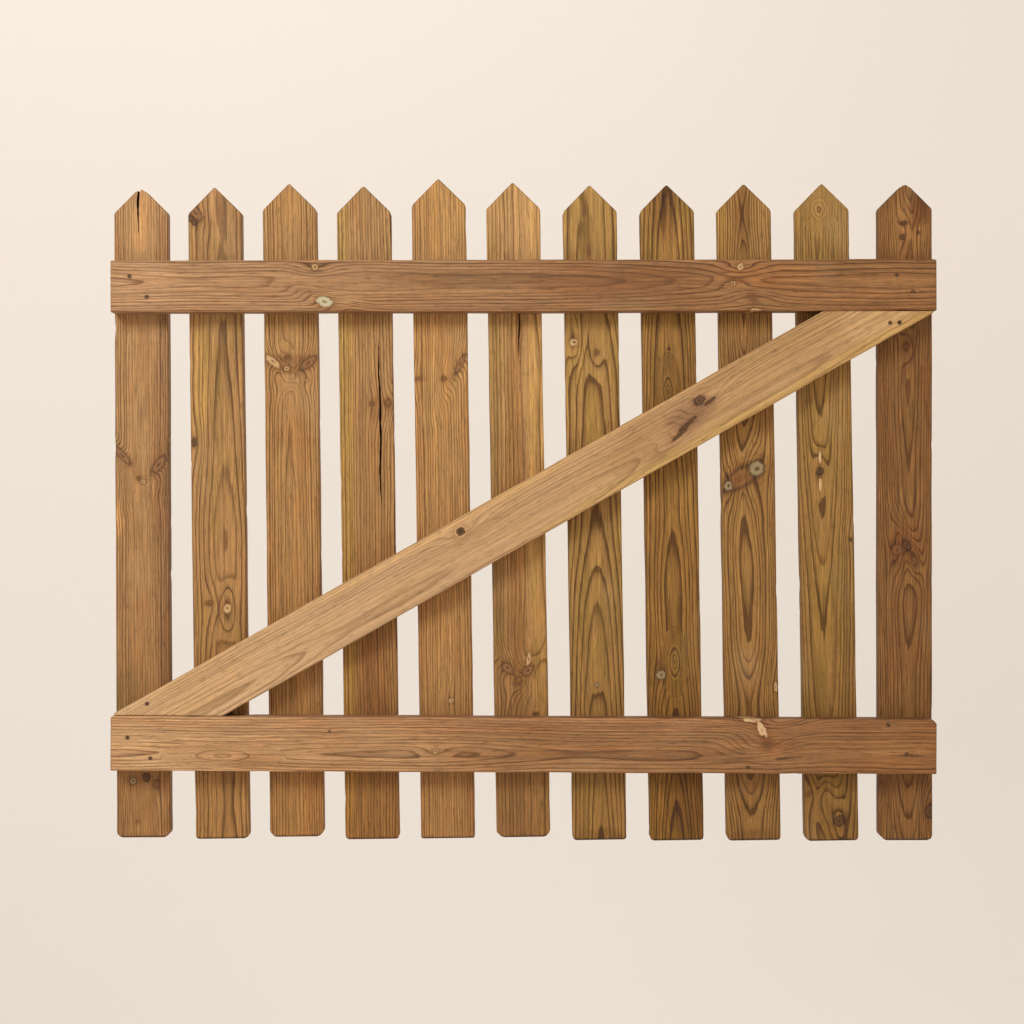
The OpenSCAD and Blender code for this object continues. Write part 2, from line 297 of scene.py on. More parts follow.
def wood(board, look, heads):
    """A board's own timber: growth rings round a wandering pith, knots that the grain flows round,
    blotches, fibres and end grain."""
    n = Nodes("wood_" + board.node)
    place = n.add("TexCoord").outputs["Object"]
    rel = n.vector("SCALE", n.vector("SUBTRACT", place, board.origin))
    rel.node.inputs["Scale"].default_value = 1 / MM
    u = n.vector("DOT_PRODUCT", rel, board.across)
    v = n.vector("DOT_PRODUCT", rel, board.along)
    w = n.vector("DOT_PRODUCT", rel, (0, 1, 0))
    p = n.join(u, v, w)
    seed = look["seed"]
    shift = (seed * 13.7, seed * 7.3, seed * 3.1)

    def grain(across, along, detail=2.0, rough=0.5):
        """Noise whose spots are that many mm across the board and along it."""
        scaled = n.vector("MULTIPLY_ADD", p, (1 / across, 1 / along, 1 / across), shift)
        return n.noise(scaled, detail, rough)

    def tone_down(color, tone):
        """The colour multiplied by a tone."""
        return n.mix(1.0, color, tone, "MULTIPLY")

    def oval_size(place_uv, rx, rz):
        """Distance from the middle of an oval, 1 on its edge."""
        return n.vector("LENGTH", n.vector("MULTIPLY", place_uv, (1 / rx, 1 / rz, 0)))

    # the grain wanders in long waves, and in small ones on top
    wave = n.math("MULTIPLY_ADD", grain(60, 260, 1.0), 2 * look["wave"], -look["wave"])
    ripple = n.math("MULTIPLY_ADD", grain(11, 46, 1.0), 2 * look["ripple"], -look["ripple"])
    bent_u = n.math("ADD", n.math("ADD", u, wave), ripple)
    bent_v = n.math("MULTIPLY_ADD", w, 0.35, n.math("MULTIPLY_ADD", ripple, 3.0, v))
    bent_p = n.join(bent_u, bent_v, 0.0)

    # each knot pushes the grain apart and lifts it into arches
    half = board.width / 2
    knots = []
    lift = 0.0
    flow_u = bent_u
    for ku, kv, rx, rz, kind, spread, rise, tilt in look["knots"]:
        away = n.vector("SUBTRACT", bent_p, (ku * half, kv * board.length, 0))
        if tilt:
            turned = n.add("VectorRotate", rotation_type="Z_AXIS")
            n.put(turned.inputs["Vector"], away)
            n.put(turned.inputs["Angle"], math.radians(tilt))
            away = turned.outputs[0]
        # the grain is disturbed over an oval this wide and tall, in mm
        wide = max(rx, 5.0) * 2.0
        tall = max(rz, rx) * 3.4 + 14
        near = n.vector("MULTIPLY", away, (1 / wide, 1 / tall, 0))
        fade = n.math("EXPONENT", n.math("MULTIPLY", n.vector("DOT_PRODUCT", near, near), -1.0))
        side = n.vector("DOT_PRODUCT", away, (1, 0, 0))
        push = n.math("MULTIPLY", n.math("MULTIPLY", side, fade), -spread)
        flow_u = n.math("ADD", flow_u, push)
        lift = n.math("MULTIPLY_ADD", fade, rise, lift)
        if KNOTS[kind]:
            knots.append((oval_size(away, rx, rz), max(3.0, (rx + rz) / 2), KNOTS[kind]))

    # growth rings: distance from the pith, which lies behind the face and slopes away from it
    pith_u, depth, slope, swell, swell_len = look["pith"]
    swells = n.math("MULTIPLY_ADD", n.noise_1d(n.math("MULTIPLY_ADD", v, 1 / swell_len, seed * 3.3)),
                    2 * swell, -swell)
    deep = n.math("ADD", n.math("MULTIPLY_ADD", v, slope, depth), n.math("ADD", swells, w))
    off = n.math("SUBTRACT", flow_u, pith_u)
    squares = n.math("ADD", n.math("MULTIPLY", off, off), n.math("MULTIPLY", deep, deep))
    from_pith = n.math("ADD", n.math("SQRT", squares), lift)
    count = n.math("DIVIDE", from_pith, look["ring"])
    # eyes: closed rings where the board was sawn through a swelling of the trunk
    for eu, ev, rx, rz, rings in look.get("eyes", ()):
        away = n.vector("SUBTRACT", bent_p, (eu * half, ev * board.length, 0))
        size = oval_size(away, rx, rz)
        eye = n.math("MULTIPLY_ADD", size, rings, EYE_FIRST_RING)
        count = n.blend(n.step(size, 0.7, 1.5, 1.0, 0.0), count, eye)
    # rings are wide in good years and narrow in bad ones
    fortune = n.noise_1d(n.math("MULTIPLY_ADD", count, 0.4, seed))
    count = n.math("ADD", count, n.math("MULTIPLY", fortune, 0.9))
    count = n.math("ADD", count, n.math("MULTIPLY", grain(3.0, 60, 2.0), 0.3))
    year = n.math("FLOOR", count)
    part = n.math("FRACT", count)
    # a year starts pale, darkens slowly and ends in a dense dark line
    late = n.ramp(part, ((0.0, 0.3), (0.05, 0.0), (0.5, 0.05), (0.74, 0.36),
                         (0.88, 1.0), (0.96, 1.0), (1.0, 0.6)))
    vigour = n.add("TexWhiteNoise", noise_dimensions="1D")
    n.put(vigour.inputs["W"], n.math("ADD", year, seed))
    late = n.math("MULTIPLY", late, n.math("MULTIPLY_ADD", vigour.outputs["Value"], 0.55, 0.55))
    late = n.math("MULTIPLY", late, n.step(n.math("ABSOLUTE", u), 0.1 * half, 0.75 * half,
                                           look.get("middle", 0.75), 1.0))

    # tone: from the foot's colour to the top's, mottled, streaked and with finer fibres
    low, high = linear(look["low"]), linear(look["high"])
    base = n.mix(n.math("DIVIDE", v, board.length, clamp=True), low, high)
    early = tone_down(base, EARLY_WOOD)
    dark = tone_down(base, look.get("late", LATE_WOOD))
    color = n.mix(n.math("MULTIPLY", late, look["contrast"] * 2.2, clamp=True), early, dark)
    mottle = grain(24, 110, 3.0, 0.6)
    color = n.mix(n.step(mottle, 0.42, 0.68), color, tone_down(color, look["tint"]))
    streak = n.blend(n.step(grain(4.0, 420, 3.0, 0.6), 0.28, 0.72), 0.84, 1.14)
    fibre = grain(1.1, 46, 3.0, 0.65)
    rough = look.get("rough", 1.0)
    fine = n.blend(n.step(fibre, 0.27, 0.73), 1 - 0.32 * rough, 1 + 0.26 * rough)
    tick = n.step(grain(1.0, 14, 1.0), 0.58, 0.7, 1.0, 0.66)
    bloom = n.step(grain(70, 120, 2.0), 0.55, 0.75)
    shade = n.math("MULTIPLY", n.math("MULTIPLY", streak, fine), tick)
    color = tone_down(color, n.join(shade, shade, shade))
    color = n.mix(n.math("MULTIPLY", bloom, 0.14), color, linear(BLOOM))
    fleck = n.math("MULTIPLY", n.step(grain(1.3, 2.6, 2.0), 0.66, 0.74),
                   n.step(grain(30, 50, 1.0), 0.5, 0.66))
    color = n.mix(n.math("MULTIPLY", fleck, 0.45), color, linear(FLECK))

    # soft patches of another tone: stains, sapwood, dust and shade left by weather
    for pu, pv, ru, rv, tone in look["patches"]:
        away = n.vector("SUBTRACT", bent_p, (pu * half, pv * board.length, 0))
        ragged = n.math("MULTIPLY_ADD", grain(6, 30, 3.0, 0.6), 0.5, -0.25)
        size = n.math("ADD", oval_size(away, ru, rv), ragged)
        color = n.mix(n.step(size, 0.55, 1.15, 1.0, 0.0), color, tone_down(color, tone))

    # painted shade: a dark band along the very foot of each picket, for the shade on its down-facing
    # eased end
    if board.node.startswith("picket"):
        foot_band = n.math("SUBTRACT", v, n.math("MULTIPLY", grain(3, 5, 2.0), 4.0))
        color = n.mix(n.step(foot_band, -0.8, 1.4, 0.85, 0.0), color, tone_down(color, FOOT_SHADE))

    # knots: a halo of darker grain, a core with rings and a heart, a dark rim
    rough_edge = n.math("MULTIPLY_ADD", grain(3.4, 4.6, 3.0, 0.65), 5.6, -2.8)
    knot_height = 0.0
    for size, radius, (core, heart, rim, rim_strength, cover) in knots:
        size = n.math("MULTIPLY_ADD", rough_edge, 1 / radius, size)
        packed = n.step(n.math("PINGPONG", n.math("MULTIPLY", size, 1.9), 0.5), 0.2, 0.42)
        halo = n.math("MULTIPLY", n.step(size, 1.0, 2.8, 1.0, 0.0),
                      n.math("MULTIPLY_ADD", packed, 0.4, 0.26))
        color = n.mix(halo, color, tone_down(color, KNOT_HALO))
        rings = n.math("FRACT", n.math("MULTIPLY", size, 2.6))
        inner = n.mix(n.math("MULTIPLY", rings, 0.35), linear(core), linear(heart))
        inner = n.mix(n.step(size, 0.12, 0.38, 1.0, 0.0), inner, linear(heart))
        inside = n.step(size, 0.82, 1.0, 1.0, 0.0)
        color = n.mix(n.math("MULTIPLY", inside, cover), color, inner)
        edge = n.math("MULTIPLY", n.step(size, 0.72, 0.95), n.step(size, 1.02, 1.3, 1.0, 0.0))
        color = n.mix(n.math("MULTIPLY", edge, rim_strength), color, linear(rim))
        knot_height = n.math("ADD", knot_height, n.math("MULTIPLY", edge, -0.9))
        knot_height = n.math("ADD", knot_height, n.math("MULTIPLY", inside, 0.35))

    # painted shade: the inside of each split, below the skin of the face, is coloured dark
    for su, start, end, wide, deep_mm in look["splits"]:
        gap = n.math("ABSOLUTE", n.math("SUBTRACT", u, su * half))
        inside = n.math("MULTIPLY", n.step(gap, wide * 0.9, wide * 1.6, 1.0, 0.0), n.step(w, 0.25, 1.2))
        inside = n.math("MULTIPLY", inside, n.step(w, deep_mm, deep_mm + 2, 1.0, 0.0))
        along = n.math("MULTIPLY", n.step(v, start * board.length - 4, start * board.length),
                       n.step(v, end * board.length, end * board.length + 4, 1.0, 0.0))
        color = n.mix(n.math("MULTIPLY", n.math("MULTIPLY", inside, along), 0.93), color,
                      linear(SPLIT_SHADE))

    # rust and bruised fibres round each nail, on the nail's own face only; in the pit round the head
    # this darkening is also painted shade
    for point, side in heads:
        hu, hv, _ = board.local(point)
        away = n.vector("MULTIPLY", n.vector("SUBTRACT", p, (hu, hv, 0)), (1, 0.62, 0))
        stain = n.step(n.math("ADD", n.vector("LENGTH", away), n.math("MULTIPLY", rough_edge, 0.3)),
                       1.4, 3.0, 1.0, 0.0)
        face = n.step(w, *((board.thick - 6, board.thick - 4) if side > 0 else (6, 4)))
        color = n.mix(n.math("MULTIPLY", n.math("MULTIPLY", stain, face), 0.28), color,
                      linear(NAIL_STAIN_AND_PIT_SHADE))

    # end grain and sawn ends drink more stain, and on the 45° end chamfers the same darkening is also
    # painted shade; the narrow sides are a little darker as painted shade
    facing = n.add("NewGeometry").outputs["Normal"]
    end = n.math("ABSOLUTE", n.vector("DOT_PRODUCT", facing, board.along))
    color = n.mix(n.step(end, 0.35, 0.68), color, tone_down(color, END_GRAIN_AND_CHAMFER_SHADE))
    # painted shade: faces turned across the board are darkened
    side = n.math("ABSOLUTE", n.vector("DOT_PRODUCT", facing, board.across))
    color = n.mix(n.step(side, 0.75, 0.98), color, tone_down(color, NARROW_SIDE_SHADE))

    n.put(n.shader.inputs["Base Color"], color)
    n.put(n.shader.inputs["Roughness"],
          n.math("MULTIPLY_ADD", fibre, 0.2, n.math("MULTIPLY_ADD", late, -0.08, 0.6)))
    n.put(n.shader.inputs["Specular IOR Level"], 0.3)
    height = n.math("ADD", n.math("MULTIPLY", late, 0.55), n.math("MULTIPLY", fibre, 0.6))
    height = n.math("ADD", height, knot_height)
    bump = n.add("Bump")
    n.put(bump.inputs["Strength"], 0.55)
    n.put(bump.inputs["Distance"], 0.35 * MM)
    n.put(bump.inputs["Height"], height)
    n.put(n.shader.inputs["Normal"], bump.outputs[0])
    return n.material


def nail_steel():
    """Dull zinc with rust freckles."""
    n = Nodes("nail_steel")
    place = n.add("TexCoord").outputs["Object"]
    speck = n.noise(n.vector("MULTIPLY", place, (700, 700, 700)), 3.0, 0.6)
    cloud = n.noise(n.vector("MULTIPLY", place, (160, 160, 160)), 2.0)
    color = n.mix(n.step(cloud, 0.35, 0.65), linear((84, 64, 46)), linear((112, 90, 68)))
    color = n.mix(n.step(speck, 0.5, 0.62), color, linear((84, 54, 34)))
    n.put(n.shader.inputs["Base Color"], color)
    n.put(n.shader.inputs["Metallic"], 0.55)
    n.put(n.shader.inputs["Roughness"], n.step(speck, 0.4, 0.65, 0.42, 0.75))
    bump = n.add("Bump")
    n.put(bump.inputs["Strength"], 0.4)
    n.put(bump.inputs["Distance"], 0.15 * MM)
    n.put(bump.inputs["Height"], speck)
    n.put(n.shader.inputs["Normal"], bump.outputs[0])
    return n.material


# ---------------------------------------------------------------- board meshes


def section(width, thick, radius):
    """Points round a board's cross-section in u and w, with rounded corners and points on its sides."""
    arc, across, through = 4, 9, 3
    points = []
    corners = (
        (width / 2 - radius, radius, -90),
        (width / 2 - radius, thick - radius, 0),
        (radius - width / 2, thick - radius, 90),
        (radius - width / 2, radius, 180),
    )
    for k, (cu, cw, start) in enumerate(corners):
        for i in range(arc + 1):
            a = math.radians(start + 90 * i / arc)
            points.append((cu + radius * math.cos(a), cw + radius * math.sin(a)))
        nu, nw, nstart = corners[(k + 1) % 4]
        a = math.radians(nstart)
        last, following = points[-1], (nu + radius * math.cos(a), nw + radius * math.sin(a))
        steps = through if k % 2 == 0 else across
        for i in range(1, steps):
            t = i / steps
            points.append(tuple(x + (y - x) * t for x, y in zip(last, following)))
    return points


def smooth_walk(rng, count, every, size):
    """count values that wander smoothly between random knots, within about size."""
    knots = [rng.uniform(-size, size) for _ in range(count // every + 3)]
    out = []
    for i in range(count):
        k, t = divmod(i / every, 1)
        t = t * t * (3 - 2 * t)
        out.append(knots[int(k)] * (1 - t) + knots[int(k) + 1] * t)
    return out


def cut(bm, board, at, out, back=0.0):
    """Cuts the board off past a plane through at (u, v, w). out points off the board in u and v, and
    back tilts the plane in w."""
    co = board.world(at[0], at[1], at[2])
    no = board.across * out[0] + board.along * out[1] + Vector((0, back, 0))
    geom = bm.verts[:] + bm.edges[:] + bm.faces[:]
    done = bmesh.ops.bisect_plane(
        bm, geom=geom, dist=1e-7, plane_co=co, plane_no=no.normalized(), clear_outer=True
    )
    rim = [e for e in done["geom_cut"] if isinstance(e, bmesh.types.BMEdge) and e.is_boundary]
    if rim:
        bmesh.ops.holes_fill(bm, edges=rim, sides=0)


def split_cutter(board, rng, su, start, end, wide, deep):
    """A jagged wedge in the shape of a drying split."""
    bm = bmesh.new()
    count = max(8, int((end - start) * board.length / 5))
    rows = []
    drift = smooth_walk(rng, count + 1, 4, wide * 0.35)
    for i in range(count + 1):
        t = i / count
        v = (start + (end - start) * t) * board.length
        swell = math.sqrt(max(0.0, 1 - (2 * t - 1) ** 2)) if end < 1 else math.sqrt(min(1, 1.4 * t))
        half = max(0.12, wide / 2 * swell * rng.uniform(0.65, 1.15))
        mid = su * board.width / 2 + drift[i]
        rows.append([
            bm.verts.new(board.world(mid - half, v, -1)),
            bm.verts.new(board.world(mid + half, v, -1)),
            bm.verts.new(board.world(mid + half * 0.25, v, deep)),
            bm.verts.new(board.world(mid - half * 0.25, v, deep)),
        ])
    for a, b in zip(rows, rows[1:]):
        for k in range(4):
            bm.faces.new((a[k], a[(k + 1) % 4], b[(k + 1) % 4], b[k]))
    bm.faces.new(rows[0])
    bm.faces.new(rows[-1][::-1])
    bmesh.ops.recalc_face_normals(bm, faces=bm.faces)
    return bm


def pit_cutter(point, side, rng):
    """A slightly ragged round pit over a sunk nail head."""
    bm = bmesh.new()
    inner, outer = [], []
    for i in range(PIT_SIDES):
        a = 2 * math.pi * i / PIT_SIDES
        r = rng.uniform(*PIT_RADIUS) * MM
        at = point + Vector((r * math.cos(a), 0, r * math.sin(a)))
        inner.append(bm.verts.new(at - Vector((0, side * 0.05 * MM, 0))))
        outer.append(bm.verts.new(at + Vector((0, side * 3 * MM, 0))))
    bm.faces.new(inner)
    bm.faces.new(outer[::-1])
    for i in range(PIT_SIDES):
        j = (i + 1) % PIT_SIDES
        bm.faces.new((inner[i], inner[j], outer[j], outer[i]))
    bmesh.ops.recalc_face_normals(bm, faces=bm.faces)
    return bm


def new_object(name, bm):
    mesh = bpy.data.meshes.new(name)
    bm.to_mesh(mesh)
    bm.free()
    obj = bpy.data.objects.new(name, mesh)
    bpy.context.scene.collection.objects.link(obj)
    return obj


def carve(obj, cutters):
    """Takes the cutters out of obj and removes them."""
    tools = [new_object("cutter", bm) for bm in cutters]
    for tool in tools:
        mod = obj.modifiers.new("cut", "BOOLEAN")
        mod.operation = "DIFFERENCE"
        mod.solver = "EXACT"
        mod.object = tool
    bpy.context.view_layer.update()
    shape = bpy.data.meshes.new_from_object(obj.evaluated_get(bpy.context.evaluated_depsgraph_get()))
    obj.modifiers.clear()
    obj.data = shape
    for tool in tools:
        bpy.data.objects.remove(tool)


def make_board(board, look, heads):
    """A board swept along its length, with worn arrises, cut to its CAD outline and then carved."""
    rng = random.Random(look["seed"])
    swept = board.length + 2 * RUN_OUT
    count = int(swept / STATION)
    edge_a, edge_b, bow, ease = (smooth_walk(rng, count + 1, 9, s) for s in (0.3, 0.3, 0.25, 0.5))
    bm = bmesh.new()
    rows = []
    for i in range(count + 1):
        v = -RUN_OUT + swept * i / count
        row = []
        for su, sw in section(board.width, board.thick, ARRIS + ease[i]):
            t = su / board.width + 0.5
            row.append([su + edge_a[i] * (1 - t) + edge_b[i] * t, v, sw + bow[i] * (2 * t - 1) * 0.5])
        rows.append(row)
    # dents, deepest on an edge and fading over a few mm
    for _ in range(DENTS):
        at_v, r, d = rng.uniform(0, board.length), rng.uniform(3, 9), rng.uniform(0.3, 1.1)
        cu, cw = rng.choice((-1, 1)) * board.width / 2, rng.choice((0, 1)) * board.thick
        mid_w = board.thick / 2
        for row in rows:
            if abs(row[0][1] - at_v) < 3 * r:
                for q in row:
                    dist2 = (q[0] - cu) ** 2 + (q[1] - at_v) ** 2 + (q[2] - cw) ** 2
                    f = d * math.exp(-dist2 / r**2)
                    q[0] -= f * (1 if cu > 0 else -1)
                    q[2] += f * (1 if q[2] < mid_w else -1) * 0.6
    rings = [[bm.verts.new(board.world(*q)) for q in row] for row in rows]
    for a, b in zip(rings, rings[1:]):
        for k in range(len(a)):
            bm.faces.new((a[k], a[(k + 1) % len(a)], b[(k + 1) % len(a)], b[k]))
    bm.faces.new(rings[0])
    bm.faces.new(rings[-1][::-1])
    bmesh.ops.recalc_face_normals(bm, faces=bm.faces)
    for at, out in board.cuts:
        cut(bm, board, (at.x, at.y, 0), (out.x, out.y))
        chamfer = rng.uniform(0.5, 1.2)
        for w, back in ((0, -1), (board.thick, 1)):
            edge = at - out * chamfer
            cut(bm, board, (edge.x, edge.y, w), (out.x, out.y), back)
    for corner, out in board.corners:
        wear = 0.25 if out.y > 0.75 and len(board.corners) > 4 else look.get("corner", 0.9)
        at = corner - out * wear * rng.uniform(0.6, 1.2)
        cut(bm, board, (at.x, at.y, 0), (out.x, out.y))
    tip = look.get("tip")
    if tip:  # the point is worn round
        peak = max(board.cuts, key=lambda c: c[1].y)[0]
        for lean in (-30, 0, 30):
            a = math.radians(lean)
            drop = tip * (1 - 0.13 * abs(lean) / 30)
            at = (math.sin(a) * tip * 0.2, peak.y - drop * 0.5)
            cut(bm, board, (at[0], at[1], 0), (math.sin(a), math.cos(a)))
    obj = new_object(board.node + "_timber", bm)
    cutters = [split_cutter(board, rng, *s) for s in look["splits"]]
    cutters += [pit_cutter(point, side, rng) for point, side in heads]
    if cutters:
        carve(obj, cutters)
    mesh = obj.data
    for poly in mesh.polygons:
        poly.use_smooth = True
    mesh.set_sharp_from_angle(angle=SHARP)
    mesh.materials.clear()
    mesh.materials.append(wood(board, look, heads))
    return obj


# ---------------------------------------------------------------- how each board looks

# Places are across the board from -1 to 1 and along it from 0 to 1; sizes are in mm.
# seed: starts the board's noise and random draws
# low, high: colour at the foot and at the top, in sRGB; tint: tone of its mottled parts
# wave, ripple: how far the grain wanders in long waves and in short ones
# ring: width of a year's growth; contrast: how dark its late wood is; late: tone of the late wood
# pith: where it is across the board, how deep behind the face, its slope along the board, and how
#   much and over what length it wavers
# middle: how much of the late wood shows in the middle of the face; rough: strength of the fibres
# corner: how far corners are worn back; tip: how far the point is worn back
# eyes: (across, along, half width, half height, rings)
# knots: (across, along, half width, half height, kind, push, lift, tilt in degrees)
# patches: (across, along, half width, half height, tone)
# splits: (across, from, to, width, depth)
OLIVE = (0.90, 0.95, 0.80)
RUSSET = (0.98, 0.90, 0.83)
SHADE = (0.70, 0.64, 0.58)
PALE = (1.28, 1.24, 1.18)

